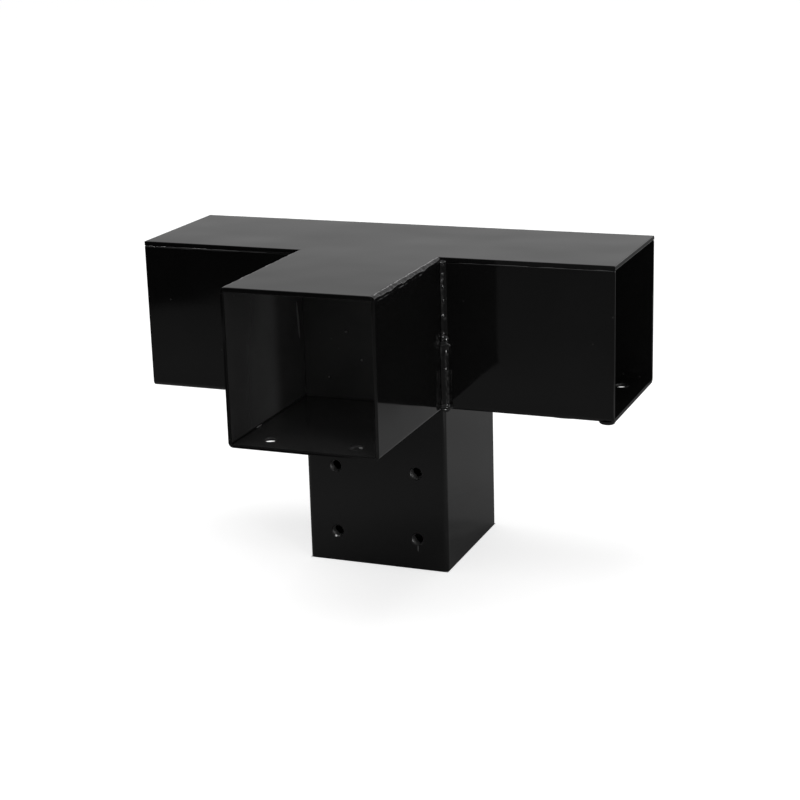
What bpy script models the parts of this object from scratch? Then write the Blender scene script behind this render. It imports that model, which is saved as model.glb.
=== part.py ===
"""A four-way post connector: a welded steel node that ties three level beams to the head of one post.

A long channel folded from sheet makes the left and right sockets in one run. A short channel butts
against its front wall and makes the front socket, and a square leg tube under it takes the post. One
tee-shaped plate closes the channels from above. The joints are welded by hand, and the whole is coated
gloss black. Metres, +Z up. The leg's open end is at Z = 0, and the origin is under the middle of the
whole, so the post's axis stands behind it.
"""

import math

import bmesh
import bpy
import numpy as np
from mathutils import Matrix, Vector

# Sheet and plate
SOCKET = 0.093
SHEET = 0.002
PLATE = 0.003
ARM_REACH = 0.110
LEG_LENGTH = 0.110
FOLD_INSIDE = 0.0012
EDGE_ROUND = 0.0004

# Screw holes
HOLE_DIAMETER = 0.0084
HOLE_SPREAD = 0.056
ARM_HOLE_INSET = 0.0155
LEG_HOLE_INSET = 0.0205
LEG_ROW_PITCH = 0.045

# Weld preparation: the root gap in every joint, and the plate's edge where a bead rounds it off
JOINT_GAP = 0.0003
PLATE_SETBACK = 0.0012
PLATE_CHAMFER = 0.0015

# Beads: the upright corner is laid in two passes, a light one of separate puddles over a heavy one
LIGHT_FILLET = 0.0032
HEAVY_FILLET = 0.0050
LEG_FILLET = 0.0028
FILLET_CROWN = 0.18
RESTART_RISE = 0.044
RESTART_SWELL = 0.0016
RESTART_SPREAD = 0.0034
PUDDLE_PITCH = 0.0088
PUDDLE_DEPTH = 0.22
GROUND_PITCH = 0.0075
GROUND_DEPTH = 0.07
GROUND_ARC = 68
BEAD_END = 0.002

# Facets
FOLD_STEPS = 10
HOLE_SIDES = 32
BEAD_STEPS = 6
FINE_RING = 0.0015
COARSE_RING = 0.0025

# What follows from the sizes above
HALF = SOCKET / 2 + SHEET
REACH = HALF + ARM_REACH
FOLD_OUTSIDE = FOLD_INSIDE + SHEET
WALL_TOP = LEG_LENGTH + SHEET + SOCKET
PLATE_TOP = WALL_TOP + PLATE
POST_AXIS_Y = ARM_REACH / 2

RIGHT = Vector((1, 0, 0))
BACK = Vector((0, 1, 0))
UP = Vector((0, 0, 1))


def clear_scene():
    for obj in list(bpy.data.objects):
        bpy.data.objects.remove(obj, do_unlink=True)


def coat(name, grey, roughness):
    """Gloss powder coat over steel: a dark skin that isn't metallic itself."""
    material = bpy.data.materials.new(name)
    material.use_nodes = True
    shader = material.node_tree.nodes["Principled BSDF"]
    shader.inputs["Base Color"].default_value = (grey, grey, grey, 1)
    shader.inputs["Roughness"].default_value = roughness
    shader.inputs["Metallic"].default_value = 0
    return material


def place(obj, at, across, along):
    """Turns a piece drawn in X and Z and drawn out along Y, so that X runs across and Y runs along."""
    turn = Matrix((across, along, across.cross(along))).transposed()
    obj.matrix_local = Matrix.Translation(at) @ turn.to_4x4()


def add_object(name, bm, parent, material):
    mesh = bpy.data.meshes.new(name)
    bm.to_mesh(mesh)
    bm.free()
    mesh.shade_smooth()
    mesh.set_sharp_from_angle(angle=math.radians(35))
    if material:
        mesh.materials.append(material)
    obj = bpy.data.objects.new(name, mesh)
    obj.parent = parent
    bpy.context.scene.collection.objects.link(obj)
    return obj


# Folded sheet

def arc(centre, radius, start, end, steps):
    """Points round a centre from one angle to another, in degrees."""
    angles = np.radians(np.linspace(start, end, steps + 1))
    return [(centre[0] + radius * math.cos(a), centre[1] + radius * math.sin(a)) for a in angles]


def channel_path():
    """The outer face of the U-shaped fold: down the left wall, under the floor and up the right wall."""
    centre = HALF - FOLD_OUTSIDE
    wall_top = SHEET + SOCKET - JOINT_GAP
    left_fold = arc((-centre, FOLD_OUTSIDE), FOLD_OUTSIDE, 180, 270, FOLD_STEPS)
    right_fold = arc((centre, FOLD_OUTSIDE), FOLD_OUTSIDE, 270, 360, FOLD_STEPS)
    return [(-HALF, wall_top), *left_fold, *right_fold, (HALF, wall_top)]


def tube_path():
    """The outer face of the square tube, once round."""
    centre = HALF - FOLD_OUTSIDE
    folds = [(-centre, -centre, 180), (centre, -centre, 270), (centre, centre, 0), (-centre, centre, 90)]
    path = []
    for x, z, start in folds:
        path += arc((x, z), FOLD_OUTSIDE, start, start + 90, FOLD_STEPS)
    return path


def folded_sheet(name, path, length, parent, material, closed=False):
    """A path drawn out along Y as the outer face, with the sheet's thickness laid on its inner side."""
    bm = bmesh.new()
    near = [bm.verts.new((x, 0, z)) for x, z in path]
    far = [bm.verts.new((x, length, z)) for x, z in path]
    for i in range(len(path) if closed else len(path) - 1):
        j = (i + 1) % len(path)
        bm.faces.new((near[i], far[i], far[j], near[j]))
    sheet = add_object(name, bm, parent, material)
    solidify = sheet.modifiers.new("sheet", "SOLIDIFY")
    solidify.thickness = SHEET
    solidify.offset = -1
    solidify.use_even_offset = True
    return sheet


def drill(sheet, holes, at, across, along):
    """Cuts round holes at points in the plane of across and along, by one cutter that is left out of renders."""
    bm = bmesh.new()
    for x, y in holes:
        bmesh.ops.create_cone(
            bm,
            cap_ends=True,
            segments=HOLE_SIDES,
            radius1=HOLE_DIAMETER / 2,
            radius2=HOLE_DIAMETER / 2,
            depth=3 * SHEET,
            matrix=Matrix.Translation((x, y, 0)),
        )
    cutter = add_object(sheet.name + "_drill", bm, sheet.parent, None)
    place(cutter, at, across, along)
    cutter.hide_render = True
    cutter.display_type = "WIRE"
    boolean = sheet.modifiers.new("holes", "BOOLEAN")
    boolean.operation = "DIFFERENCE"
    boolean.solver = "EXACT"
    boolean.object = cutter


def soften_edges(piece):
    bevel = piece.modifiers.new("deburred_edges", "BEVEL")
    bevel.width = EDGE_ROUND
    bevel.segments = 2
    bevel.limit_method = "ANGLE"
    bevel.angle_limit = math.radians(50)


def build_cross_channel(parent):
    """Back wall, floor and front wall in one fold. It runs through, so left and right sockets are one passage."""
    channel = folded_sheet("cross_channel", channel_path(), 2 * REACH, parent, coat("channel_coat", 0.006, 0.12))
    place(channel, (-REACH, 0, LEG_LENGTH), -BACK, RIGHT)
    row = REACH - ARM_HOLE_INSET
    holes = [(side * row, end * HOLE_SPREAD / 2) for side in (-1, 1) for end in (-1, 1)]
    drill(channel, holes, (0, 0, LEG_LENGTH + SHEET / 2), RIGHT, BACK)
    soften_edges(channel)


def build_front_channel(parent):
    """The short fold, butted square against the cross channel's front wall, which closes it as a stop."""
    length = ARM_REACH - JOINT_GAP
    material = coat("front_channel_coat", 0.006, 0.12)
    channel = folded_sheet("front_channel", channel_path(), length, parent, material)
    place(channel, (0, -HALF - JOINT_GAP, LEG_LENGTH), -RIGHT, -BACK)
    row = -(REACH - ARM_HOLE_INSET)
    holes = [(side * HOLE_SPREAD / 2, row) for side in (-1, 1)]
    drill(channel, holes, (0, 0, LEG_LENGTH + SHEET / 2), RIGHT, BACK)
    soften_edges(channel)


def build_leg_tube(parent):
    """The square tube that slips over the post, with two rows of screw holes through its front wall."""
    length = LEG_LENGTH - JOINT_GAP
    leg = folded_sheet("leg_tube", tube_path(), length, parent, coat("leg_coat", 0.006, 0.12), closed=True)
    place(leg, (0, 0, 0), RIGHT, UP)
    rows = (LEG_HOLE_INSET, LEG_HOLE_INSET + LEG_ROW_PITCH)
    holes = [(side * HOLE_SPREAD / 2, row) for side in (-1, 1) for row in rows]
    drill(leg, holes, (0, -HALF + SHEET / 2, 0), RIGHT, UP)
    soften_edges(leg)


# Top plate

def skin(bm, rings):
    """Joins outlines with equal numbers of points one after another, and caps the first and the last."""
    for near, far in zip(rings, rings[1:]):
        for i in range(len(near)):
            j = (i + 1) % len(near)
            bm.faces.new((near[i], near[j], far[j], far[i]))
    bm.faces.new(rings[0])
    bm.faces.new(rings[-1])
    bmesh.ops.recalc_face_normals(bm, faces=bm.faces)


def tee_outline(side):
    """The plate seen from above: flush along the arms, and out to side on the edges that a bead rounds off."""
    return [
        (-REACH, side),
        (-REACH, -HALF),
        (-side, -HALF),
        (-side, -REACH),
        (side, -REACH),
        (side, -HALF),
        (REACH, -HALF),
        (REACH, side),
    ]


def build_top_plate(parent):
    """Laser-cut tee of thicker plate, chamfered along the edges that are welded."""
    edge = HALF - PLATE_SETBACK
    levels = [(0, edge), (PLATE - PLATE_CHAMFER, edge), (PLATE, edge - PLATE_CHAMFER)]
    bm = bmesh.new()
    skin(bm, [[bm.verts.new((x, y, z)) for x, y in tee_outline(side)] for z, side in levels])
    plate = add_object("top_plate", bm, parent, coat("plate_coat", 0.006, 0.10))
    place(plate, (0, 0, WALL_TOP), RIGHT, BACK)
    soften_edges(plate)


# Weld beads

def bead(name, section, length, ring, parent, material):
    """A bead along Y: section(y) is its closed outline in X and Z, and the outlines are skinned and capped."""
    bm = bmesh.new()
    stations = np.linspace(0, length, round(length / ring) + 1)
    skin(bm, [[bm.verts.new((x, y, z)) for x, z in section(y)] for y in stations])
    return add_object(name, bm, parent, material)


def puddle(y, pitch):
    """0 on the crown of a puddle and 1 in the valley between two."""
    return (2 * ((y / pitch) % 1) - 1) ** 2


def taper(y, length):
    """Rounds a bead's two ends off over a short stretch."""
    near_end = min(y, length - y, BEAD_END) / BEAD_END
    return 0.45 + 0.55 * math.sqrt(1 - (1 - near_end) ** 2)


def fillet_outline(leg):
    """A crowned fillet in a square corner: root, toe on one face, rounded face, toe on the other."""
    toe = leg + JOINT_GAP
    outline = [(JOINT_GAP, JOINT_GAP)]
    for t in np.linspace(0, 1, BEAD_STEPS + 1):
        crown = FILLET_CROWN * leg * 4 * t * (1 - t)
        outline.append((toe - leg * t + crown, JOINT_GAP + leg * t + crown))
    return outline


def corner_leg(y, length):
    """How wide the upright bead is: heavy below the restart, swollen at it, light and puddled above it."""
    above = 1 / (1 + math.exp((RESTART_RISE - y) / (RESTART_SPREAD / 3)))
    width = HEAVY_FILLET + (LIGHT_FILLET - HEAVY_FILLET) * above
    width += RESTART_SWELL * math.exp(-(((y - RESTART_RISE) / RESTART_SPREAD) ** 2))
    width *= 1 - PUDDLE_DEPTH * above * puddle(y, PUDDLE_PITCH)
    return width * taper(y, length)


def build_corner_welds(parent):
    """The two upright beads where the front channel's walls meet the cross channel's front wall."""
    foot = LEG_LENGTH + FOLD_OUTSIDE
    length = PLATE_TOP - PLATE_CHAMFER - foot
    for side, across in (("right", RIGHT), ("left", -BACK)):
        weld = bead(
            "corner_weld_" + side,
            lambda y: fillet_outline(corner_leg(y, length)),
            length,
            FINE_RING,
            parent,
            coat("corner_weld_coat_" + side, 0.006, 0.16),
        )
        corner = HALF if side == "right" else -HALF
        place(weld, (corner, -HALF, foot), across, UP)


def ground_outline(y):
    """A bead ground to a round over the plate's chamfered edge, from the wall's face to the plate's top."""
    wave = 1 - GROUND_DEPTH * puddle(y, GROUND_PITCH)
    width = PLATE_SETBACK + PLATE_CHAMFER
    outline = [(-PLATE_SETBACK + JOINT_GAP, 0)]
    for angle in np.radians(np.linspace(0, GROUND_ARC, BEAD_STEPS + 1)):
        outline.append((-width + width * wave * math.cos(angle), PLATE * wave * math.sin(angle)))
    slope = JOINT_GAP * math.sqrt(2)
    shoulder = PLATE - PLATE_CHAMFER
    last_x = outline[-1][0]
    outline.append((last_x, shoulder + slope - PLATE_SETBACK - last_x))
    outline.append((-PLATE_SETBACK + JOINT_GAP, shoulder + slope - JOINT_GAP))
    return outline


def build_plate_welds(parent):
    """Beads that join the plate to the channels' walls along the front arm's sides and along the back."""
    side_length = ARM_REACH - JOINT_GAP
    runs = [
        ("plate_weld_right", side_length, (HALF, -REACH, WALL_TOP), RIGHT, BACK),
        ("plate_weld_left", side_length, (-HALF, -HALF - JOINT_GAP, WALL_TOP), -RIGHT, -BACK),
        ("plate_weld_back", 2 * REACH, (REACH, HALF, WALL_TOP), BACK, -RIGHT),
    ]
    for name, length, at, across, along in runs:
        material = coat(name + "_coat", 0.006, 0.16)
        weld = bead(name, ground_outline, length, COARSE_RING, parent, material)
        place(weld, at, across, along)


def groove_outline():
    """The bead that fills the flare between the cross channel's lower fold and the leg's end, face flush."""
    radius = FOLD_OUTSIDE + JOINT_GAP
    inner = math.sqrt(radius ** 2 - FOLD_OUTSIDE ** 2)
    start = math.degrees(math.atan2(-FOLD_OUTSIDE, inner))
    end = math.degrees(math.atan2(-inner, FOLD_OUTSIDE))
    return arc((-FOLD_OUTSIDE, FOLD_OUTSIDE), radius, start, end, BEAD_STEPS) + [(0, 0)]


def build_leg_welds(parent):
    """Fillets round the leg's top under the channels, and a groove bead where its back wall meets the fold."""
    run = 2 * (HALF - FOLD_OUTSIDE)
    middle = run / 2

    def fillet(y):
        wave = 1 - PUDDLE_DEPTH / 2 * puddle(y, PUDDLE_PITCH)
        return fillet_outline(LEG_FILLET * wave * taper(y, run))

    def groove(y):
        return groove_outline()

    runs = [
        ("leg_weld_right", fillet, (HALF, middle, LEG_LENGTH), RIGHT, -BACK),
        ("leg_weld_left", fillet, (-HALF, -middle, LEG_LENGTH), -RIGHT, BACK),
        ("leg_weld_front", fillet, (middle, -HALF, LEG_LENGTH), -BACK, -RIGHT),
        ("leg_weld_back", groove, (middle, HALF, LEG_LENGTH), BACK, -RIGHT),
    ]
    for name, section, at, across, along in runs:
        material = coat(name + "_coat", 0.006, 0.16)
        place(bead(name, section, run, COARSE_RING, parent, material), at, across, along)


clear_scene()
post_axis = bpy.data.objects.new("post_axis", None)
post_axis.location = (0, POST_AXIS_Y, 0)
bpy.context.scene.collection.objects.link(post_axis)
build_cross_channel(post_axis)
build_front_channel(post_axis)
build_leg_tube(post_axis)
build_top_plate(post_axis)
build_corner_welds(post_axis)
build_plate_welds(post_axis)
build_leg_welds(post_axis)
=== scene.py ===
"""Studio picture of a welded, gloss black connector that joins three level beams to one post."""

import bpy
import numpy as np
from mathutils import Matrix, Vector


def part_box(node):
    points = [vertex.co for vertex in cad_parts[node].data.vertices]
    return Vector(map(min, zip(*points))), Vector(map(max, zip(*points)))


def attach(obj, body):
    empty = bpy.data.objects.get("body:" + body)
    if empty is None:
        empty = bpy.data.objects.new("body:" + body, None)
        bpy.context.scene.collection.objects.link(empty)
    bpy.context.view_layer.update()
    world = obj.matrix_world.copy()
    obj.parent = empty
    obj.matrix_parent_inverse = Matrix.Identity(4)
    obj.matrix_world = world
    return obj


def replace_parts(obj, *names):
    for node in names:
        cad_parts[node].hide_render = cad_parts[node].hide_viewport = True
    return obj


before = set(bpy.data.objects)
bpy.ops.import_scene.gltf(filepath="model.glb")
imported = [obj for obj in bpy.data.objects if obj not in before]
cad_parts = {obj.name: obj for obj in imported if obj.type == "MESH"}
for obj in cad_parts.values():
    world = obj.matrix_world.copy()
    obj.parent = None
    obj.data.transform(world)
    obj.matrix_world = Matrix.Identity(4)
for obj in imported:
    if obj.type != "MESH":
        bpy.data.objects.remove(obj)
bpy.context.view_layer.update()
scene = bpy.context.scene
scene.view_settings.view_transform = "Standard"

# Camera
# A long lens, slightly above the node and a quarter of a right angle round to its right. It is rolled
# a little, as a hand-levelled tripod is, and aims below the node so that the leg's foot has room.

CAMERA_AT = Vector((0.44051, -1.04946, 0.44664))
CAMERA_RIGHT = Vector((0.931231, 0.363365, -0.027833))
CAMERA_UP = Vector((-0.077242, 0.271440, 0.959351))
LENS_MM = 83.96
SENSOR_MM = 36

lens = bpy.data.cameras.new("camera")
lens.lens = LENS_MM
lens.sensor_width = SENSOR_MM
camera = bpy.data.objects.new("camera", lens)
turned = Matrix((CAMERA_RIGHT, CAMERA_UP, CAMERA_RIGHT.cross(CAMERA_UP))).transposed()
camera.matrix_world = Matrix.Translation(CAMERA_AT) @ turned.to_4x4()
scene.collection.objects.link(camera)
scene.camera = camera

# Studio
# A pale sweep lit from all round, a strip lamp in two parts at the front right, a broad panel on the
# right, a small bar behind and a panel above. The coat mirrors painted light and shade on the floor
# round the node, a horizon that is bright behind it and a sky that is dimmer behind the camera.

FLOOR_HALF = 14.0
FLOOR_SEEN = 0.62
FLOOR_GLOW = 0.66

# The mirrored floor, painted light and shade that only the coat's reflections see: greys by Y, then the
# edge of a painted pool of light on the left, painted light and shade fields by X and Y, and painted
# stripes of shade and light, each with its start, its end, its half width and its share of the grey or
# its own grey
MIRRORED_FLOOR_LIGHT = (
    (-0.80, 0.120),
    (-0.62, 0.125),
    (-0.40, 0.178),
    (-0.25, 0.170),
    (-0.07, 0.290),
    (0.03, 0.330),
    (0.15, 0.280),
    (0.30, 0.260),
    (1.00, 0.420),
    (4.00, 0.900),
)
LIGHT_POOL_EDGE_AT = (-0.50, -0.62)
LIGHT_POOL_EDGE_ALONG = (0.632, -0.775)
LIGHT_POOL_EDGE_SOFT = 0.03
LIGHT_POOL_BEYOND = 0.03
RIGHT_FROM = (0.25, 0.40)
RIGHT_TO = (0.50, 0.56)
RIGHT_GREY = 0.65
RIGHT_MIDDLE = -0.10
RIGHT_WIDE = (0.06, 0.17)
RIGHT_BEYOND = 0.40
BACK_RIGHT_X = (0.18, 0.28)
BACK_RIGHT_Y = (0.22, 0.36)
BACK_RIGHT = 0.42
LEFT_AT = (-0.45, -0.25)
LEFT = 0.10
FRONT_AT = (-0.35, -0.25)
STRIPES = (
    ((-0.199, -0.433), (-0.330, -0.710), 0.026, 0.15),
    ((-0.199, -0.433), (-0.112, -0.433), 0.030, 0.08),
    ((-0.104, -0.433), (-0.240, -0.710), 0.016, 1.70),
)
STRIPE_SOFT = 0.015
# The streak is a painted bright line on the floor, which the coat mirrors.
STREAK = ((0.370, -0.310), (0.540, -0.470), 0.040, 0.90)

AMBIENT = 0.544
HORIZON = 0.48
HORIZON_FADE = 0.125
SKY = 0.26
SKY_MIDDLE = 1.42
SKY_LEAN = 0.80
SKY_SWEEP = (-0.4, 0.5)
FRONT_SKY = 0.55

# Name, place, what it aims at, width, height and radiance
LAMPS = (
    ("strip_low", (1.50, -1.16, 0.20), (0.0, -0.05, 0.15), 0.16, 0.36, 25.0),
    ("strip_high", (1.50, -1.16, 1.25), (0.0, -0.05, 0.15), 0.30, 0.50, 3.5),
    ("panel_right", (1.70, 0.30, 0.70), (0.0, 0.0, 0.12), 0.90, 1.00, 1.2),
    ("bar_behind", (-0.64, 2.40, 1.06), (0.0, 0.0, 0.20), 0.28, 0.24, 1.2),
    ("panel_above", (-0.45, -0.10, 2.20), (0.0, 0.0, 0.0), 1.80, 1.80, 1.6),
)


def node(tree, kind, **values):
    """A shader node of that kind, with the given inputs and settings."""
    made = tree.nodes.new(kind)
    for key, value in values.items():
        if hasattr(made, key):
            setattr(made, key, value)
        else:
            made.inputs[key].default_value = value
    return made


def wire(tree, *pairs):
    """Links output sockets to input sockets, given two at a time."""
    for output, target in zip(pairs[::2], pairs[1::2]):
        tree.links.new(output, target)


def calc(tree, operation, first, second=None, clamp=False):
    """One Math node on sockets or numbers, and its output socket."""
    made = tree.nodes.new("ShaderNodeMath")
    made.operation = operation
    made.use_clamp = clamp
    for slot, value in zip(made.inputs, (first, second)):
        if value is None:
            continue
        if hasattr(value, "links"):
            tree.links.new(value, slot)
        else:
            slot.default_value = value
    return made.outputs[0]


def plus(tree, first, second):
    """The sum of two sockets or numbers."""
    return calc(tree, "ADD", first, second)


def minus(tree, first, second):
    """The first socket or number less the second."""
    return calc(tree, "SUBTRACT", first, second)


def times(tree, first, second):
    """The product of two sockets or numbers."""
    return calc(tree, "MULTIPLY", first, second)


def larger(tree, first, second):
    """The larger of two sockets or numbers."""
    return calc(tree, "MAXIMUM", first, second)


def spread(tree, value, low, high, start=0.0, end=1.0):
    """A smooth step: start where the value is below low, end where it is above high."""
    made = node(tree, "ShaderNodeMapRange", interpolation_type="SMOOTHSTEP", clamp=True)
    wire(tree, value, made.inputs["Value"])
    made.inputs["From Min"].default_value = low
    made.inputs["From Max"].default_value = high
    made.inputs["To Min"].default_value = start
    made.inputs["To Max"].default_value = end
    return made.outputs["Result"]


def split_place(tree):
    """The X, Y and Z of a point in the object's own space."""
    split = node(tree, "ShaderNodeSeparateXYZ")
    wire(tree, node(tree, "ShaderNodeTexCoord").outputs["Object"], split.inputs[0])
    return split.outputs


def stripe(tree, x, y, start, end, half):
    """1 along a straight stripe on the floor, from the start to the end, and 0 past its soft edges."""
    run = Vector(end) - Vector(start)
    far = run.length
    run.normalize()
    x, y = minus(tree, x, start[0]), minus(tree, y, start[1])
    along = plus(tree, times(tree, x, run.x), times(tree, y, run.y))
    aside = minus(tree, times(tree, x, run.y), times(tree, y, run.x))
    across = spread(tree, calc(tree, "ABSOLUTE", aside), half, half + STRIPE_SOFT, 1.0, 0.0)
    past_start = spread(tree, along, -STRIPE_SOFT, 0.0)
    before_end = spread(tree, along, far, far + STRIPE_SOFT, 1.0, 0.0)
    return times(tree, across, times(tree, past_start, before_end))


def floor_ramp(tree, y):
    """The mirrored floor's painted light and shade by its Y alone."""
    low, high = MIRRORED_FLOOR_LIGHT[0][0], MIRRORED_FLOOR_LIGHT[-1][0]
    ramp = node(tree, "ShaderNodeValToRGB")
    share = calc(tree, "DIVIDE", minus(tree, y, low), high - low, clamp=True)
    wire(tree, share, ramp.inputs[0])
    stops = ramp.color_ramp.elements
    while len(stops) < len(MIRRORED_FLOOR_LIGHT):
        stops.new(0.5)
    for stop, (at, grey) in zip(stops, MIRRORED_FLOOR_LIGHT):
        stop.position = (at - low) / (high - low)
        stop.color = (grey, grey, grey, 1)
    return ramp.outputs[0]


def painted_floor_light(tree, x, y):
    """The ramp's painted light, with painted shade past the lit pool's edge, far right, back right and
    left, a painted pool of light on the right, painted stripes and a painted streak.
    """
    along_x, along_y = LIGHT_POOL_EDGE_ALONG
    beside_x = times(tree, minus(tree, x, LIGHT_POOL_EDGE_AT[0]), -along_y)
    beside_y = times(tree, minus(tree, y, LIGHT_POOL_EDGE_AT[1]), along_x)
    across = plus(tree, beside_x, beside_y)
    lit = spread(tree, across, -LIGHT_POOL_EDGE_SOFT, LIGHT_POOL_EDGE_SOFT, LIGHT_POOL_BEYOND, 1.0)
    before = spread(tree, x, *RIGHT_TO, 1.0, 0.0)
    far_right = spread(tree, x, *RIGHT_TO, 1.0, RIGHT_BEYOND)
    grey = times(tree, times(tree, floor_ramp(tree, y), lit), far_right)
    corner = times(tree, spread(tree, x, *BACK_RIGHT_X), spread(tree, y, *BACK_RIGHT_Y))
    grey = times(tree, grey, minus(tree, 1.0, times(tree, corner, 1 - BACK_RIGHT)))
    left = spread(tree, x, *LEFT_AT, LEFT, 1.0)
    grey = times(tree, grey, larger(tree, left, spread(tree, y, *FRONT_AT, 1.0, 0.0)))
    aside = calc(tree, "ABSOLUTE", minus(tree, y, RIGHT_MIDDLE))
    right = times(tree, spread(tree, x, *RIGHT_FROM, 0.0, RIGHT_GREY), before)
    grey = larger(tree, grey, times(tree, right, spread(tree, aside, *RIGHT_WIDE, 1.0, 0.0)))
    for start, end, half, share in STRIPES:
        change = times(tree, stripe(tree, x, y, start, end, half), share - 1)
        grey = times(tree, grey, plus(tree, change, 1.0))
    start, end, half, streak = STREAK
    return larger(tree, grey, times(tree, stripe(tree, x, y, start, end, half), streak))


def floor_material():
    """White to the camera with the node's shadow kept, painted shade inside the leg where the glow is
    left out, and painted greys where mirrored.
    """
    material = bpy.data.materials.new("studio_floor")
    material.use_nodes = True
    tree = material.node_tree
    tree.nodes.clear()
    x, y = split_place(tree)[:2]
    path = node(tree, "ShaderNodeLightPath")
    grey = node(tree, "ShaderNodeMix", data_type="FLOAT")
    wire(tree, path.outputs["Is Glossy Ray"], grey.inputs[0], painted_floor_light(tree, x, y), grey.inputs[3])
    grey.inputs[2].default_value = FLOOR_SEEN
    shade = node(tree, "ShaderNodeBsdfDiffuse")
    wire(tree, grey.outputs[0], shade.inputs["Color"])
    # The glow is left out inside the leg's footprint: painted shade on the floor inside the tube.
    (_, front, _), (side, back, _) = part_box("leg_tube")
    off_middle = calc(tree, "ABSOLUTE", minus(tree, y, (front + back) / 2))
    outside_x = calc(tree, "GREATER_THAN", calc(tree, "ABSOLUTE", x), side)
    outside_y = calc(tree, "GREATER_THAN", off_middle, (back - front) / 2)
    glow = node(tree, "ShaderNodeEmission")
    strength = times(tree, path.outputs["Is Camera Ray"], FLOOR_GLOW)
    wire(tree, times(tree, strength, larger(tree, outside_x, outside_y)), glow.inputs["Strength"])
    both = node(tree, "ShaderNodeAddShader")
    out = node(tree, "ShaderNodeOutputMaterial")
    wire(tree, shade.outputs[0], both.inputs[0], glow.outputs[0], both.inputs[1])
    wire(tree, both.outputs[0], out.inputs[0])
    return material


floor_mesh = bpy.data.meshes.new("studio_floor")
corners = [(x * FLOOR_HALF, y * FLOOR_HALF, 0) for x, y in ((-1, -1), (1, -1), (1, 1), (-1, 1))]
floor_mesh.from_pydata(corners, [], [(0, 1, 2, 3)])
floor_mesh.materials.append(floor_material())
floor = bpy.data.objects.new("studio_floor", floor_mesh)
scene.collection.objects.link(floor)

world = bpy.data.worlds.new("studio")
scene.world = world
world.use_nodes = True
tree = world.node_tree
tree.nodes.clear()
split = node(tree, "ShaderNodeSeparateXYZ")
wire(tree, node(tree, "ShaderNodeTexCoord").outputs["Generated"], split.inputs[0])
height = larger(tree, split.outputs[2], 0.0)
fade = calc(tree, "EXPONENT", calc(tree, "DIVIDE", height, -HORIZON_FADE))
lean = plus(tree, times(tree, split.outputs[0], SKY_LEAN), SKY_MIDDLE)
behind = times(tree, plus(tree, times(tree, fade, HORIZON), SKY), lean)
mirrored = times(tree, behind, spread(tree, split.outputs[1], *SKY_SWEEP, FRONT_SKY, 1.0))
path = node(tree, "ShaderNodeLightPath")
glossy = larger(tree, path.outputs["Is Glossy Ray"], path.outputs["Is Transmission Ray"])
level = plus(tree, times(tree, glossy, minus(tree, mirrored, AMBIENT)), AMBIENT)
level = plus(tree, times(tree, path.outputs["Is Camera Ray"], minus(tree, 1.0, level)), level)
backdrop = node(tree, "ShaderNodeBackground", Color=(1, 1, 1, 1))
out = node(tree, "ShaderNodeOutputWorld")
wire(tree, level, backdrop.inputs["Strength"], backdrop.outputs[0], out.inputs[0])


def lamp(name, at, aim, width, tall, radiance):
    """A soft panel facing aim: its power follows from the radiance that its face shows."""
    data = bpy.data.lights.new(name, "AREA")
    data.shape = "RECTANGLE"
    data.size = width
    data.size_y = tall
    data.energy = radiance * width * tall * np.pi
    made = bpy.data.objects.new(name, data)
    away = (Vector(at) - Vector(aim)).normalized()
    side = Vector((0, 0, 1)).cross(away).normalized()
    facing = Matrix((side, away.cross(side), away)).transposed()
    made.matrix_world = Matrix.Translation(at) @ facing.to_4x4()
    scene.collection.objects.link(made)


for values in LAMPS:
    lamp(*values)

# Sheet pieces
# Cross channel, front channel, leg tube and top plate: folded or laser-cut steel under gloss black
# powder, baked after welding. The skin has a fine orange peel and lies over slightly wavy sheet.
# Little powder reaches the inside of a socket, so the coat there is dry and less glossy. Its added
# grey, lighter deeper into the front socket, is painted fill light.

SHEET = 0.002
leg_low, leg_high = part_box("leg_tube")
cross_low, cross_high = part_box("cross_channel")
plate_low, plate_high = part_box("top_plate")
FRONT_WALL = leg_low[1]
BACK_WALL = leg_high[1]
SIDE = leg_high[0]
ARM_FLOOR = cross_low[2]
FLOOR_TOP = ARM_FLOOR + SHEET
PLATE_BOTTOM = plate_low[2]
PLATE_TOP = plate_high[2]
REACH = cross_high[0]
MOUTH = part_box("front_channel")[0][1]

# Boxes that hold a socket's inner faces and stop in the middle of the sheet or a lip before a rim
SKIN = SHEET / 2
LIP = 0.0009
BOX_SOFT = 0.0006
inner = SIDE - SHEET - LIP
outer = SIDE - SHEET + LIP
front_socket = (
    (-outer, MOUTH + LIP, ARM_FLOOR + SKIN),
    (outer, FRONT_WALL + SKIN, PLATE_BOTTOM + SKIN),
)
front_walls = (
    (-outer, MOUTH + LIP, FLOOR_TOP + SKIN),
    (outer, FRONT_WALL + SKIN, PLATE_BOTTOM + SKIN),
)
front_floor = (
    (-inner, MOUTH + LIP, ARM_FLOOR + SKIN),
    (inner, FRONT_WALL - LIP, FLOOR_TOP + SKIN),
)
cross_socket = (
    (-REACH + LIP, FRONT_WALL + SKIN, ARM_FLOOR + SKIN),
    (REACH - LIP, BACK_WALL - SKIN, PLATE_BOTTOM + SKIN),
)
leg_socket = (
    (-SIDE + SKIN, FRONT_WALL + SKIN, LIP),
    (SIDE - SKIN, BACK_WALL - SKIN, ARM_FLOOR + SKIN),
)

# Each dry box with the painted fill light, as grey, that it adds at the front mouth and at the cross
# channel's front wall
CROSS_FILL_GREY = 0.002
top_dry_and_fill = ((front_socket, 0.030, 0.090), (cross_socket, CROSS_FILL_GREY, CROSS_FILL_GREY))
cross_dry_and_fill = ((cross_socket, CROSS_FILL_GREY, CROSS_FILL_GREY), (front_socket, 0.036, 0.036))
front_dry_and_fill = ((front_walls, 0.027, 0.095), (front_floor, 0.023, 0.043))
leg_dry = ((leg_socket, 0.0, 0.0),)

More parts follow.
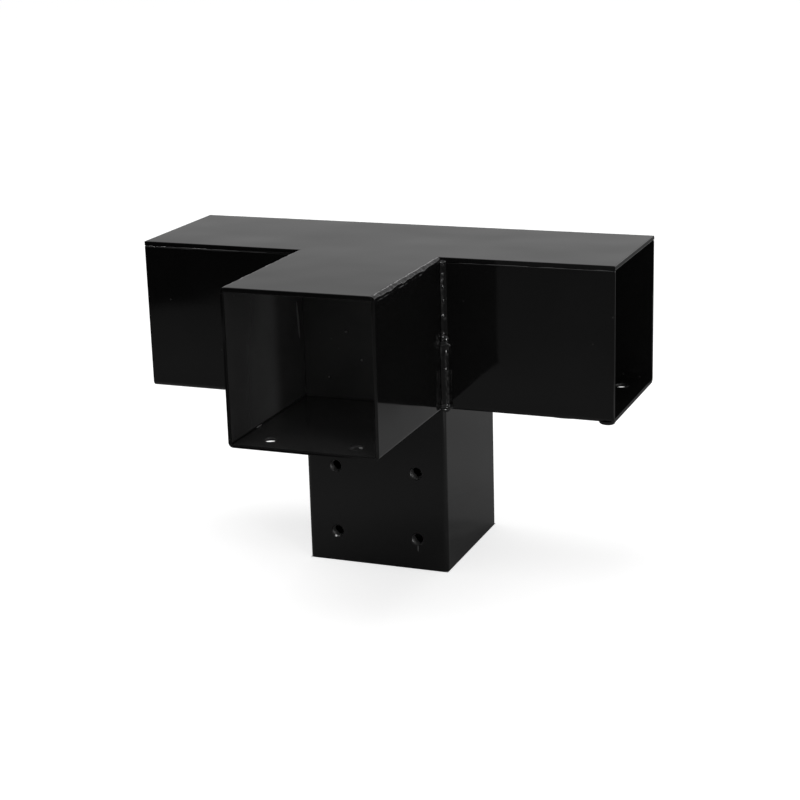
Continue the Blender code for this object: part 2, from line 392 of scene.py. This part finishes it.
# Creases of the leg's right face: height at the front edge, slope towards the back, width and depth
LEG_CREASES = ((0.0511, -0.229, 0.0024, 0.18), (0.0285, -0.270, 0.0050, 0.50))
CREASE_FADES = (0.035, 0.090)

COAT_GREY = 0.0032
COAT_GLOSS = 0.07
DRY_GLOSS = 0.24
PEEL = 0.004
PEEL_GRAIN = (420.0, 2.0)
WAVE_GRAIN = (9.0, 2.0)
SPECK_GREY = 0.02
SPECK_CELLS = 190.0
SPECK_RARE = 0.94
SPECK_SIZE = (0.05, 0.16)
CLOUD_GRAIN = (16.0, 3.0)
CLOUD = (0.30, 0.70, 0.85, 1.15)
DULL_GRAIN = (30.0, 4.0)
DULL = (0.35, 0.70, 0.80, 1.10)
BUMP_HEIGHT = 0.001


def powder_skin_group():
    """Orange peel, waves of the sheet, specks, dry patches and painted fill light, as colour, roughness
    and height.
    """
    group = bpy.data.node_groups.new("powder_skin", "ShaderNodeTree")
    face = group.interface
    for name in ("Grey", "Gloss", "Painted Fill Grey", "Dry", "Peel", "Wave"):
        face.new_socket(name, in_out="INPUT", socket_type="NodeSocketFloat")
    face.new_socket("Color", in_out="OUTPUT", socket_type="NodeSocketColor")
    face.new_socket("Roughness", in_out="OUTPUT", socket_type="NodeSocketFloat")
    face.new_socket("Height", in_out="OUTPUT", socket_type="NodeSocketFloat")
    source = node(group, "NodeGroupInput").outputs
    result = node(group, "NodeGroupOutput").inputs
    place = node(group, "ShaderNodeTexCoord").outputs["Object"]

    def noise(scale, detail):
        made = node(group, "ShaderNodeTexNoise", Scale=scale, Detail=detail)
        wire(group, place, made.inputs["Vector"])
        return made.outputs["Fac"]

    fine = times(group, noise(*PEEL_GRAIN), source["Peel"])
    wide = times(group, noise(*WAVE_GRAIN), source["Wave"])
    wire(group, plus(group, fine, wide), result["Height"])
    cell = node(group, "ShaderNodeTexVoronoi", feature="F1", Scale=SPECK_CELLS)
    chosen = node(group, "ShaderNodeTexWhiteNoise", noise_dimensions="3D")
    wire(group, place, cell.inputs["Vector"], cell.outputs["Position"], chosen.inputs["Vector"])
    rare = calc(group, "GREATER_THAN", chosen.outputs["Value"], SPECK_RARE)
    near = spread(group, cell.outputs["Distance"], *SPECK_SIZE, 1.0, 0.0)
    speck = times(group, times(group, rare, near), SPECK_GREY)
    # The grey that the dry boxes add is painted fill light, on top of the coat's own grey.
    base = plus(group, source["Grey"], source["Painted Fill Grey"])
    grey = plus(group, times(group, base, spread(group, noise(*CLOUD_GRAIN), *CLOUD)), speck)
    mixed = node(group, "ShaderNodeCombineColor")
    wire(group, grey, mixed.inputs[0], grey, mixed.inputs[1], grey, mixed.inputs[2])
    wire(group, mixed.outputs[0], result["Color"])
    rough = plus(group, source["Gloss"], times(group, source["Dry"], DRY_GLOSS - COAT_GLOSS))
    wire(group, times(group, rough, spread(group, noise(*DULL_GRAIN), *DULL)), result["Roughness"])
    return group


powder_skin = powder_skin_group()


def within(tree, place, low, high):
    """1 inside a box and 0 outside, with a soft edge at each of its six sides."""
    inside = 1.0
    for value, bottom, top in zip(place, low, high):
        above = spread(tree, value, bottom - BOX_SOFT, bottom + BOX_SOFT)
        below = spread(tree, value, top - BOX_SOFT, top + BOX_SOFT, 1.0, 0.0)
        inside = times(tree, inside, times(tree, above, below))
    return inside


def dry_and_painted_fill(tree, boxes):
    """1 inside any of the boxes, and the largest painted fill grey that a box adds, which changes along
    Y.
    """
    place = split_place(tree)
    anywhere, added = 0.0, 0.0
    for (low, high), fill_at_mouth, fill_at_wall in boxes:
        inside = within(tree, place, low, high)
        # Painted fill light: a grey that changes from the mouth to the cross channel's front wall.
        grey = spread(tree, place[1], MOUTH, FRONT_WALL, fill_at_mouth, fill_at_wall)
        anywhere = larger(tree, anywhere, inside)
        added = larger(tree, added, times(tree, inside, grey))
    return anywhere, added


def creased(tree, height, creases):
    """The height less a soft valley along each crease of the right face, which fades to the back."""
    x, y, z = split_place(tree)
    back = minus(tree, y, FRONT_WALL)
    right = calc(tree, "GREATER_THAN", x, SIDE - SKIN)
    right = times(tree, right, spread(tree, back, *CREASE_FADES, 1.0, 0.0))
    for start, slope, width, depth in creases:
        line = plus(tree, times(tree, back, slope), start)
        off = calc(tree, "DIVIDE", minus(tree, z, line), width)
        valley = calc(tree, "EXPONENT", times(tree, times(tree, off, off), -1.0))
        height = minus(tree, height, times(tree, times(tree, valley, depth), right))
    return height


def coat(name, grey=COAT_GREY, gloss=COAT_GLOSS, peel=0.0, wave=0.0, dry=(), creases=()):
    """A coat material: the powder skin with a piece's own grey, gloss, relief, dry boxes with their
    painted fill light, and creases.
    """
    material = bpy.data.materials.new(name)
    material.use_nodes = True
    tree = material.node_tree
    shader = tree.nodes["Principled BSDF"]
    skin = node(tree, "ShaderNodeGroup", node_tree=powder_skin)
    for key, value in (("Grey", grey), ("Gloss", gloss), ("Peel", peel), ("Wave", wave)):
        skin.inputs[key].default_value = value
    # The dry boxes make the coat rougher and add painted fill light.
    if dry:
        anywhere, added = dry_and_painted_fill(tree, dry)
        wire(tree, anywhere, skin.inputs["Dry"], added, skin.inputs["Painted Fill Grey"])
    bump = node(tree, "ShaderNodeBump")
    bump.inputs["Distance"].default_value = BUMP_HEIGHT
    height = skin.outputs["Height"]
    if creases:
        height = creased(tree, height, creases)
    wire(tree, height, bump.inputs["Height"])
    wire(tree, skin.outputs["Color"], shader.inputs["Base Color"])
    wire(tree, skin.outputs["Roughness"], shader.inputs["Roughness"])
    wire(tree, bump.outputs[0], shader.inputs["Normal"])
    return material


def dress(name, material):
    """Gives a CAD node its coat."""
    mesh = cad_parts[name].data
    mesh.materials.clear()
    mesh.materials.append(material)


dress("top_plate", coat("top_plate_coat", peel=PEEL, wave=1.2, dry=top_dry_and_fill))
dress("cross_channel", coat("cross_channel_coat", peel=PEEL, wave=1.0, dry=cross_dry_and_fill))
dress("front_channel", coat("front_channel_coat", peel=PEEL, wave=0.8, dry=front_dry_and_fill))
dress("leg_tube", coat("leg_coat", peel=PEEL, wave=0.3, dry=leg_dry, creases=LEG_CREASES))

# Corner welds
# Hand-laid fillets that stand in the two inner corners, between the front channel's walls and the
# cross channel's front wall. The upper part is a light pass with a small crown on each puddle. Below
# it a heavy, smoother pass begins at a swollen restart and runs down to a blob over the fold.

ROOT_GAP = 0.0003
FOLD_OUTSIDE = 0.0032
WELD_FOOT = ARM_FLOOR + 0.0006
WELD_HEAD = PLATE_TOP - 0.0015
LIGHT_LEG = 0.0030
HEAVY_LEG = 0.0052
LEG_UNEVEN = 0.025
BEAD_END = 0.0016
END_SHARE = 0.45
RESTART_AT = 0.1545
RESTART_SOFT = 0.0007
PUDDLES_RIGHT = (0.2043, 0.1976, 0.1893, 0.1805, 0.1709)
PUDDLES_LEFT = (0.2031, 0.1962, 0.1878, 0.1791, 0.1701)
PLUMP = 0.07
HEAVY_PLUMP = 0.15
PLUMP_UNEVEN = 0.03
SCALE_PITCH = 0.0040
SCALE_LEAD = 0.0016
SCALE_HEIGHT = 0.00007
FOLD_SINK = 0.6
WAVELENGTHS = (0.0031, 0.0043, 0.0057, 0.0079, 0.0113, 0.0171, 0.0290)
WAVES_LEAN = 1.5
WAVES_SUM = 0.035
SHARP_ANGLE = 50

# Angle of the section in degrees, reach up and down, reach round the section in radians, and height
CROWN = (52, 0.0008, 0.30, 0.00026)
# Place along Z, and then the same four
SWELLINGS = (
    (0.1566, 62, 0.0019, 0.50, 0.0007),
    (0.1550, 38, 0.0018, 0.42, 0.0009),
    (0.1527, 18, 0.0017, 0.28, 0.0012),
    (0.1566, 84, 0.0012, 0.22, 0.0009),
    (0.1500, 52, 0.0026, 0.60, -0.0004),
)
FOOT_SWELLING = (0.0018, 0.0016, 0.0007)
# Place along Z, angle of the section in degrees, radius, and half sizes up, sideways and outwards
LOBES = (
    (0.1583, 70, 0.0036, (0.0019, 0.0014, 0.0005)),
    (0.1566, 40, 0.0041, (0.0024, 0.0017, 0.0005)),
    (0.1525, 24, 0.0048, (0.0009, 0.0012, 0.0006)),
    (0.1114, 64, 0.0050, (0.0014, 0.0024, 0.0005)),
)
LOBES_FACE = (54, 8)
PEARL_RINGS = 12
PEARL_SIDES = 24


def shells(name, grids, material, looped=False):
    """One object from closed grids of points: each runs round its second index.

    A grid is looped on its first index too, or capped at both ends of it. The cones from its middle
    to its faces add up to a positive volume where the faces point outwards, and the faces are turned
    over where they don't.
    """
    points, faces, first = [], [], 0
    for grid in grids:
        rows, columns = grid.shape[:2]
        index = np.arange(rows * columns).reshape(rows, columns)
        near, far = (index, np.roll(index, -1, 0)) if looped else (index[:-1], index[1:])
        quads = np.stack((near, np.roll(near, -1, 1), np.roll(far, -1, 1), far), -1).reshape(-1, 4)
        ends = [] if looped else [index[0, ::-1], index[-1]]
        flat = grid.reshape(-1, 3)
        a, b, c, d = np.moveaxis((flat - flat.mean(0))[quads], 1, 0)
        turn = 1 if np.sum(a * (np.cross(b, c) + np.cross(c, d))) > 0 else -1
        faces += (first + quads[:, ::turn]).tolist()
        faces += [(first + end[::turn]).tolist() for end in ends]
        points.append(flat)
        first += rows * columns
    mesh = bpy.data.meshes.new(name)
    mesh.from_pydata(np.concatenate(points), [], faces)
    mesh.shade_smooth()
    mesh.set_sharp_from_angle(angle=np.radians(SHARP_ANGLE))
    mesh.materials.append(material)
    made = bpy.data.objects.new(name, mesh)
    scene.collection.objects.link(made)
    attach(made, "root")
    return made


def laid(origin, along, across, up, run, out, rise):
    """Points from an origin: run along the joint, out from one face and rise from the other."""
    run, out, rise = np.broadcast_arrays(run, out, rise)
    return np.array(origin) + np.stack((run, out, rise), -1) @ np.array((along, across, up), float)


def ripple(along, across, seed, fine=1.0):
    """Uneven hand work: seven crossed sine waves of fixed wavelengths, between about -1 and 1."""
    chance = np.random.default_rng(seed)
    total = 0
    for wave in WAVELENGTHS:
        phase, lean = chance.uniform(0, 2 * np.pi), chance.uniform(-WAVES_LEAN, WAVES_LEAN)
        total = total + wave * np.sin(2 * np.pi * fine * along / wave + lean * across + phase)
    return total / WAVES_SUM


def saw(along, pitch):
    """Falls from 1 to 0 in the first half of each pitch and rises to 1 again in the second."""
    return np.abs(((along / pitch) % 1) * 2 - 1)


def chord(angle):
    """Radius of the straight line between the ends of two legs that are 1 long, by its angle."""
    return 1 / (np.cos(angle) + np.sin(angle))


def tapered(run, start, stop):
    """1 along a bead, and down to a share of it in a quarter round at each end."""
    end = np.clip(np.minimum(run - start, stop - run) / BEAD_END, 0, 1)
    return END_SHARE + (1 - END_SHARE) * np.sqrt(1 - (1 - end) ** 2)


def swelling(z, angle, at, toward, tall, wide, height):
    """A round hill, bell-shaped up and down and round the section."""
    return height * np.exp(-(((z - at) / tall) ** 2) - ((angle - np.radians(toward)) / wide) ** 2)


def pearl(centre, axes, sizes, power=2.0):
    """Half an ellipsoid on a face, from its foot to near its pole, with its sizes along the axes.

    The third axis points outwards. A power above 2 makes the sides steeper and the top flatter.
    """
    rows = np.linspace(0, 0.97, PEARL_RINGS)[:, None] * np.pi / 2
    turn = np.linspace(0, 2 * np.pi, PEARL_SIDES + 1)[None, :-1]
    out = np.cos(rows) ** (2 / power)
    parts = (sizes[0] * out * np.cos(turn), sizes[1] * out * np.sin(turn), sizes[2] * np.sin(rows))
    return np.array(centre) + np.stack(np.broadcast_arrays(*parts), -1) @ np.array(axes, float)


def corner_lobes(corner_x, side):
    """Flat pearls on the bead's face, turned so that they mirror the lamp at the front right."""
    faced, tilt = np.radians(LOBES_FACE)
    sideways = np.array((side * np.sin(faced), np.cos(faced), 0))
    level = np.cos(tilt)
    outwards = np.array((side * np.cos(faced) * level, -np.sin(faced) * level, np.sin(tilt)))
    axes = (np.cross(sideways, outwards), sideways, outwards)
    lobes = []
    for z, toward, radius, sizes in LOBES:
        toward = np.radians(toward)
        centre = (corner_x + side * radius * np.cos(toward), FRONT_WALL - radius * np.sin(toward), z)
        lobes.append(pearl(centre, axes, sizes))
    return lobes


def corner_bead(name, corner_x, side, crowns, seed):
    """A fillet in polar form round its root, whose radius is a chord's with a round crown.

    Its legs step from heavy to light at the restart and taper at both ends. Crowns, swellings and the
    scales of the heavy pass are added to the radius, and the foot sinks into the channel's fold.
    """
    z = np.linspace(WELD_FOOT, WELD_HEAD, 420)[:, None]
    angle = np.radians(np.linspace(0, 90, 29))[None, :]
    light = 1 / (1 + np.exp(-(z - RESTART_AT) / RESTART_SOFT))
    leg = HEAVY_LEG + (LIGHT_LEG - HEAVY_LEG) * light
    leg = leg * (1 + LEG_UNEVEN * ripple(z, angle, seed))
    foot_at, foot_tall, foot_height = FOOT_SWELLING
    leg = leg + foot_height * np.exp(-(((z - WELD_FOOT - foot_at) / foot_tall) ** 2))
    leg = leg * tapered(z, WELD_FOOT, WELD_HEAD)
    plump = PLUMP + HEAVY_PLUMP * (1 - light) + PLUMP_UNEVEN * ripple(z, 2 * angle, seed + 1)
    radius = leg * (chord(angle) + plump * np.sin(2 * angle))
    for at in crowns:
        radius = radius + swelling(z, angle, at, *CROWN)
    for values in SWELLINGS:
        radius = radius + swelling(z, angle, *values)
    scales = 1 - saw(z + SCALE_LEAD * np.sin(2 * angle), SCALE_PITCH) ** 2
    radius = radius + SCALE_HEIGHT * (1 - light) * scales * np.sin(2 * angle)
    into_fold = np.clip(ARM_FLOOR + FOLD_OUTSIDE - z, 0, None)
    sunk = FOLD_OUTSIDE - np.sqrt(FOLD_OUTSIDE**2 - into_fold**2)
    root = ROOT_GAP - sunk
    out = np.hstack((root, ROOT_GAP + radius * np.cos(angle) - FOLD_SINK * sunk))
    rise = np.hstack((root, ROOT_GAP + radius * np.sin(angle) - FOLD_SINK * sunk))
    bead = laid((corner_x, FRONT_WALL, 0), (0, 0, 1), (side, 0, 0), (0, -1, 0), z, out, rise)
    skin = coat(name + "_coat", grey=0.0024, gloss=0.17)
    return shells(name, [bead] + corner_lobes(corner_x, side), skin)


right_bead = corner_bead("corner_bead_right", SIDE, 1, PUDDLES_RIGHT, 11)
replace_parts(right_bead, "corner_weld_right")
left_bead = corner_bead("corner_bead_left", -SIDE, -1, PUDDLES_LEFT, 23)
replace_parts(left_bead, "corner_weld_left")

# Plate welds
# Beads on the plate's edges along the front arm's sides and along the back, ground to a round by
# hand. A wavy toe laps down over the wall below, and the grinder has left a thin, uneven upper rim.

PLATE = PLATE_TOP - PLATE_BOTTOM
SETBACK = 0.0012
BEVEL = 0.0015
RUN_STEP = 0.0006
# Mean and wander of the upright part's height, of its bulge past the wall and of the toe's lap
UPRIGHT = (0.0008, 0.00045)
BULGE = (0.00022, 0.00016)
LAP = (0.00065, 0.00022)
GRIND = 0.00005
GRIND_FINE = 1.7


def wandering(mean_and_wander, run, seed):
    """A mean that wanders along the run with the ripple."""
    mean, wander = mean_and_wander
    return mean + wander * ripple(run, 0, seed)


def columns(run, *points):
    """Section points, each a pair of out and rise, repeated along the run."""
    return [np.hstack([value + 0 * run for value in values]) for values in zip(*points)]


def plate_bead(name, length, origin, across, along, seed, proud):
    """Upright for its lowest part and then a quarter round to the plate's top.

    The upright's height and its bulge wander along the run. Where the bead is proud of the wall, a
    toe laps down over it, and the hidden side follows the plate's bevel at the root gap.
    """
    run = np.linspace(0, length, round(length / RUN_STEP))[:, None]
    arc = np.radians(np.linspace(0, 88, 17))[None, :]
    width = SETBACK + BEVEL
    foot = wandering(UPRIGHT, run, seed + 1)
    bulge = proud * wandering(BULGE, run, seed)
    lap = proud * wandering(LAP, run, seed + 3)
    small = GRIND * ripple(run, 4 * arc, seed + 2, GRIND_FINE) * np.sin(2 * arc)
    out = (width + bulge) * np.cos(arc) - width + small
    rise = foot + (PLATE - 0.00006 - foot) * np.sin(arc) + small
    toe = columns(
        run,
        (-0.0001, -lap),
        (0.5 * bulge + 0.00005 * proud, 0.00012 * proud - lap),
        (bulge + 0.00003 * proud, -0.6 * lap),
        (bulge + 0.00002 * proud, 0.00035),
    )
    hidden = columns(
        run,
        (0.0003 - width, PLATE - 0.00022),
        (ROOT_GAP - SETBACK, PLATE - BEVEL + (np.sqrt(2) - 1) * ROOT_GAP),
        (ROOT_GAP - SETBACK, 0.00004),
    )
    out = np.hstack((toe[0], out, hidden[0]))
    rise = np.hstack((toe[1], rise, hidden[1]))
    grid = laid(origin, along, across, (0, 0, 1), run, out, rise)
    return shells(name, [grid], coat(name + "_coat", grey=0.0045, gloss=0.14))


arm_run = FRONT_WALL - MOUTH - ROOT_GAP
plate_starts = (
    ("right", arm_run, (SIDE, MOUTH, PLATE_BOTTOM), (1, 0, 0), (0, 1, 0), 5, 1),
    ("left", arm_run, (-SIDE, MOUTH, PLATE_BOTTOM), (-1, 0, 0), (0, 1, 0), 6, 1),
    ("back", 2 * REACH, (-REACH, BACK_WALL, PLATE_BOTTOM), (0, 1, 0), (1, 0, 0), 7, 0),
)
for side, *values in plate_starts:
    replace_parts(plate_bead("plate_bead_" + side, *values), "plate_weld_" + side)

# Leg welds
# Small fillets round the leg's top, under the channels, on three sides. At the back the leg's wall
# is flush with the channel's, and a bead fills the groove that the channel's fold leaves.

LEG_FILLET = 0.0028
LEG_RUN = 2 * (SIDE - FOLD_OUTSIDE)
LEG_STEPS = 150
LEG_PITCH = 0.0062
LEG_LEAD = 0.001
LEG_RIPPLE = 0.07
LEG_WAIST = 0.12
LEG_CROWN = 0.14
GROOVE_SUNK = (0.0002, 0.00016)
MIDDLE_Y = (FRONT_WALL + BACK_WALL) / 2


def leg_skin(name):
    """The coat of the beads round the leg: a little duller than the corner welds'."""
    return coat(name + "_coat", grey=0.0040, gloss=0.20)


def leg_bead(name, origin, across, along, seed):
    """A fillet with a low crown, whose legs change with the ripple and with each puddle of the run."""
    run = np.linspace(0, LEG_RUN, LEG_STEPS)[:, None]
    angle = np.radians(np.linspace(0, 90, 13))[None, :]
    waist = LEG_WAIST * saw(run + LEG_LEAD * np.sin(2 * angle), LEG_PITCH) ** 3
    leg = LEG_FILLET * (1 + LEG_RIPPLE * ripple(run, angle, seed) - waist)
    radius = leg * tapered(run, 0, LEG_RUN) * (chord(angle) + LEG_CROWN * np.sin(2 * angle))
    root = np.full_like(run, ROOT_GAP)
    out = np.hstack((root, ROOT_GAP + radius * np.cos(angle)))
    rise = np.hstack((root, ROOT_GAP + radius * np.sin(angle)))
    grid = laid(origin, along, across, (0, 0, -1), run, out, rise)
    return shells(name, [grid], leg_skin(name))


def groove_bead(name, seed):
    """Fills the fold's flare: an arc at the root gap round the fold, closed by a slightly sunk face."""
    run = np.linspace(0, LEG_RUN, LEG_STEPS)[:, None]
    reach = FOLD_OUTSIDE + ROOT_GAP
    start = np.arctan2(-FOLD_OUTSIDE, np.sqrt(reach**2 - FOLD_OUTSIDE**2))
    bend = np.linspace(start, -np.pi / 2 - start, 9)[None, :]
    arc_out = reach * np.cos(bend) - FOLD_OUTSIDE
    arc_rise = reach * np.sin(bend) + FOLD_OUTSIDE
    face = np.linspace(0, 1, 7)[None, 1:-1]
    face_out = -wandering(GROOVE_SUNK, run, seed) * np.sin(np.pi * face) - 0.00002
    face_rise = arc_rise.max() * (1 - face)
    out = np.hstack((arc_out + 0 * run, face_out))
    rise = np.hstack((arc_rise + 0 * run, face_rise + 0 * run))
    origin = (-LEG_RUN / 2, BACK_WALL, ARM_FLOOR)
    grid = laid(origin, (1, 0, 0), (0, 1, 0), (0, 0, 1), run, out, rise)
    return shells(name, [grid], leg_skin(name))


leg_starts = (
    ("right", (SIDE, MIDDLE_Y - LEG_RUN / 2, ARM_FLOOR), (1, 0, 0), (0, 1, 0), 31),
    ("left", (-SIDE, MIDDLE_Y - LEG_RUN / 2, ARM_FLOOR), (-1, 0, 0), (0, 1, 0), 32),
    ("front", (-LEG_RUN / 2, FRONT_WALL, ARM_FLOOR), (0, -1, 0), (1, 0, 0), 33),
)
for side, *values in leg_starts:
    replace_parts(leg_bead("leg_bead_" + side, *values), "leg_weld_" + side)
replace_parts(groove_bead("leg_bead_back", 34), "leg_weld_back")

# Hole collars
# The screw holes in the leg are pierced from outside and then coated: the punch has drawn the metal
# in, so each hole narrows to a torn collar behind the sheet, with a few burrs whose pale colour is
# painted highlight. The floor holes have a low raised lip.

HOLE_RADIUS = 0.0042
HOLE_OFF = 0.028
LEG_ROWS = (0.0655, 0.0205)
MOUTH_INSET = 0.0155
LEG_HOLES = tuple((x, z) for z in LEG_ROWS for x in (-HOLE_OFF, HOLE_OFF))
FLOOR_HOLES = tuple((x, MOUTH + MOUTH_INSET) for x in (-HOLE_OFF, HOLE_OFF)) + tuple(
    (side * (REACH - MOUTH_INSET), MIDDLE_Y + y) for side in (1, -1) for y in (-HOLE_OFF, HOLE_OFF)
)
TORN = 0.00025
HEAVY_SIDE = 0.0012
HEAVY_TOWARD = 215
COLLAR_DEPTH = 0.0031
LIP_SIZE = 0.00028
LIP_OFF = 0.00032

INTO_LEG = ((1, 0, 0), (0, 0, 1), (0, 1, 0))
TO_FRONT = ((1, 0, 0), (0, 0, 1), (0, -1, 0))
UPWARDS = ((1, 0, 0), (0, 1, 0), (0, 0, 1))

# Number of the hole, place from its centre, and half sizes across, up and outwards
BURRS = (
    (0, (-0.0034, -0.0004), (0.0003, 0.0012, 0.0005)),
    (0, (-0.0019, -0.0034), (0.0006, 0.0005, 0.0005)),
    (1, (-0.0029, -0.0008), (0.0007, 0.0005, 0.0005)),
    (1, (0.0003, -0.0038), (0.0008, 0.0003, 0.0004)),
    (2, (-0.0036, -0.0010), (0.0003, 0.0008, 0.0004)),
    (3, (-0.0023, -0.0021), (0.0006, 0.0006, 0.0005)),
    (3, (0.0002, -0.0062), (0.0003, 0.0022, 0.0003)),
)
BURR_DEPTH = 0.0005
# A burr painted near-white below, as a highlight in the lower left hole
PAINTED_GLINT_BURR = (2, (-0.0015, -0.0036), (0.0008, 0.0008, 0.0006))
PAINTED_GLINT_DEPTH = 0.0003

AROUND = np.linspace(0, 2 * np.pi, 97)[:-1, None]


def ring(centre, axes, radii, depths):
    """A loop of sections round a centre: a point's radius and depth may change with the turn."""
    first, second, third = np.array(axes, float)
    radii, depths, turn = np.broadcast_arrays(radii, depths, AROUND)
    return (
        np.array(centre)
        + (radii * np.cos(turn))[..., None] * first
        + (radii * np.sin(turn))[..., None] * second
        + depths[..., None] * third
    )


def leg_collar(number, x, z):
    """From the rim in to a throat behind the sheet: torn by three sine waves and heavy on one side."""
    waves = np.sin(3 * AROUND + number) + np.sin(5 * AROUND + 2.3 * number)
    torn = TORN * (waves + 0.5 * np.sin(11 * AROUND + number))
    toward = np.radians(HEAVY_TOWARD + 12 * np.sin(number))
    heavy = HEAVY_SIDE * np.clip(np.cos(AROUND - toward), 0, 1) ** 2
    outside = HOLE_RADIUS - 0.00007
    throat = HOLE_RADIUS - 0.00105 - heavy + 0.4 * torn
    deep = COLLAR_DEPTH + torn
    radii, depths = columns(
        AROUND,
        (outside, 0.0002),
        (outside - 0.00010, 0.0),
        (outside - 0.00045 - 0.5 * heavy, 0.0005),
        (throat, deep - 0.0002),
        (throat + 0.0002, deep),
        (HOLE_RADIUS - 0.0002, deep - 0.0006),
        (outside, 0.0019),
    )
    return ring((x, FRONT_WALL, z), INTO_LEG, radii, depths)


def leg_burr(number, off, sizes, depth):
    """A pearl at a place from a screw hole's centre, a little way in from the leg's front face."""
    x, z = LEG_HOLES[number]
    return pearl((x + off[0], FRONT_WALL + depth, z + off[1]), TO_FRONT, sizes)


def floor_lip(number, x, y):
    """A low round ring on the floor, whose size changes with two sine waves."""
    section = np.linspace(0, 2 * np.pi, 13)[None, :-1]
    waves = 0.25 * np.sin(2 * AROUND + number) + 0.15 * np.sin(5 * AROUND + 2 * number)
    size = LIP_SIZE * (1 + waves)
    radii = HOLE_RADIUS + LIP_OFF + size * np.cos(section)
    depths = 0.00002 + size * (0.8 + 0.8 * np.sin(section)) / 2
    return ring((x, y, FLOOR_TOP), UPWARDS, radii, depths)


collars = [leg_collar(number, *place) for number, place in enumerate(LEG_HOLES)]
collar_coat = coat("leg_hole_collar_coat", grey=0.03, gloss=0.28, peel=PEEL)
shells("leg_hole_collars", collars, collar_coat, looped=True)

burrs = []
for number, off, sizes in BURRS:
    depth = BURR_DEPTH if np.hypot(*off) < HOLE_RADIUS else 0.0
    burrs.append(leg_burr(number, off, sizes, depth))
# Pale grey on the burrs: painted highlights in the holes.
shells("leg_hole_burrs", burrs, coat("leg_hole_burr_coat", grey=0.08, gloss=0.36))
# A near-white burr: a painted highlight in the lower left hole.
painted_glint_coat = coat("burr_painted_glint_coat", grey=0.80, gloss=0.36)
shells("burr_with_painted_glint", [leg_burr(*PAINTED_GLINT_BURR, PAINTED_GLINT_DEPTH)], painted_glint_coat)

lips = [floor_lip(number, *place) for number, place in enumerate(FLOOR_HOLES)]
lip_coat = coat("floor_hole_lip_coat", grey=0.04, gloss=0.22)
shells("floor_hole_lips", lips, lip_coat, looped=True)

# Drips and spatter
# Powder that ran and set: a bright run in the seam under the plate on each arm's front, and a lump
# under the right arm's outer corner. Inside the front socket a tack stands near the stop's left
# corner, and a few beads of weld spatter are stuck on the walls; their pale grey is painted highlight.

SEAM_SIZE = 0.00052
SEAM_UNEVEN = 0.3
SEAM_GROWS = 0.030
SEAM_LEAST = 0.15
SEAM_STARTS = ((1, 0.0600, 51), (-1, 0.0700, 52))
RUN_GLOSS = 0.10
WALL_IN = -SIDE + SHEET
DOWNWARDS = ((1, 0, 0), (0, 1, 0), (0, 0, -1))
OFF_LEFT_WALL = ((0, -0.10, 1), (0, 1, 0.10), (1, 0, 0))

# Centre, axes and half sizes along them
DRIPS = (
    ((0.1531, FRONT_WALL + 0.0035, ARM_FLOOR + 0.0006), DOWNWARDS, (0.0053, 0.0033, 0.0026), 3.6),
    ((0.1250, FRONT_WALL + 0.0043, ARM_FLOOR), DOWNWARDS, (0.0090, 0.0016, 0.0005)),
)
SPATTER = (
    ((WALL_IN, -0.0016, 0.1640), OFF_LEFT_WALL, (0.0125, 0.0009, 0.0006)),
    ((-0.0169, FRONT_WALL, 0.1562), TO_FRONT, (0.0009, 0.0008, 0.0006)),
    ((-0.0069, FRONT_WALL, 0.1384), TO_FRONT, (0.0008, 0.0008, 0.0007)),
    ((-0.0300, FRONT_WALL, 0.1255), TO_FRONT, (0.0006, 0.0006, 0.0004)),
    ((WALL_IN + 0.0002, -0.0655, FLOOR_TOP), UPWARDS, (0.0005, 0.0046, 0.0007)),
    ((0.0302, -0.0840, ARM_FLOOR + 0.0008), TO_FRONT, (0.0026, 0.0007, 0.0005)),
)


def seam_run(side, start, seed):
    """A half round of changing size under the plate's edge, from the start to near the mouth."""
    run = np.linspace(0, REACH - LIP - start, 160)[:, None]
    half_turn = np.radians(np.linspace(-95, 95, 11))[None, :]
    grown = np.clip(run / SEAM_GROWS, SEAM_LEAST, 1) ** 0.5
    size = SEAM_SIZE * (1 + SEAM_UNEVEN * ripple(run, 0, seed)) * grown
    out = np.hstack((size * np.cos(half_turn), np.full_like(run, -0.0001)))
    rise = np.hstack((size * np.sin(half_turn), 0 * run))
    origin = (side * start, FRONT_WALL - 0.00004, PLATE_BOTTOM - 0.0004)
    return laid(origin, (side, 0, 0), (0, -1, 0), (0, 0, 1), run, out, rise)


runs = [seam_run(*values) for values in SEAM_STARTS]
shells("seam_runs", runs, coat("seam_run_coat", gloss=RUN_GLOSS))
drips = [pearl(*values) for values in DRIPS]
shells("powder_drips", drips, coat("powder_drip_coat", gloss=RUN_GLOSS))
spatter = [pearl(*values) for values in SPATTER]
# Pale grey on the tack and spatter: painted highlights.
shells("weld_spatter", spatter, coat("weld_spatter_coat", grey=0.16, gloss=0.36))
